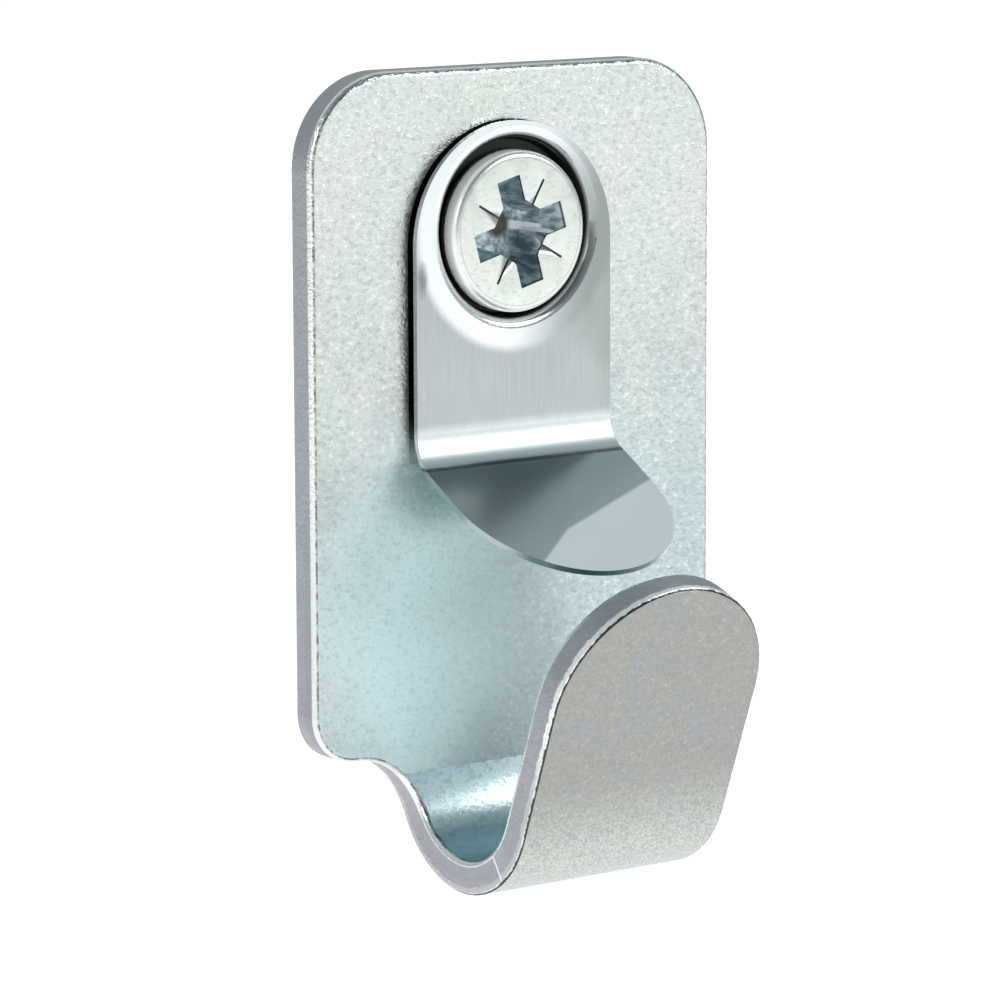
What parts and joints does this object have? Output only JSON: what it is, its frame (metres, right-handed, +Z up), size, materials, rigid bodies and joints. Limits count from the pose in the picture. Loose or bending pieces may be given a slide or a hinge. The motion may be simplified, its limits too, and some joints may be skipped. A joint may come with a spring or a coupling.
{
  "type": "picture hook",
  "caption": "Zinc-plated steel wall hook with a rounded plate, a U-bent lip, a sprung leaf that closes its mouth, and a cross-recessed wall screw.",
  "frame": {"origin": "on the screw's axis, in the plane of the wall that the plate's back lies against", "axes": "+X to the right as the hook hangs, +Y into the wall along the screw, +Z up"},
  "size_m": [0.0251, 0.0266, 0.0411],
  "materials": {
    "plated_sheet": "satin zinc plating, faintly iridescent",
    "spring_steel": "smooth bright plating",
    "plated_screw": "bright zinc plating"
  },
  "bodies": {
    "root": {"hook_plate": "plated_sheet", "spring_tongue": "spring_steel", "screw": "plated_screw"}
  },
  "joints": []
}
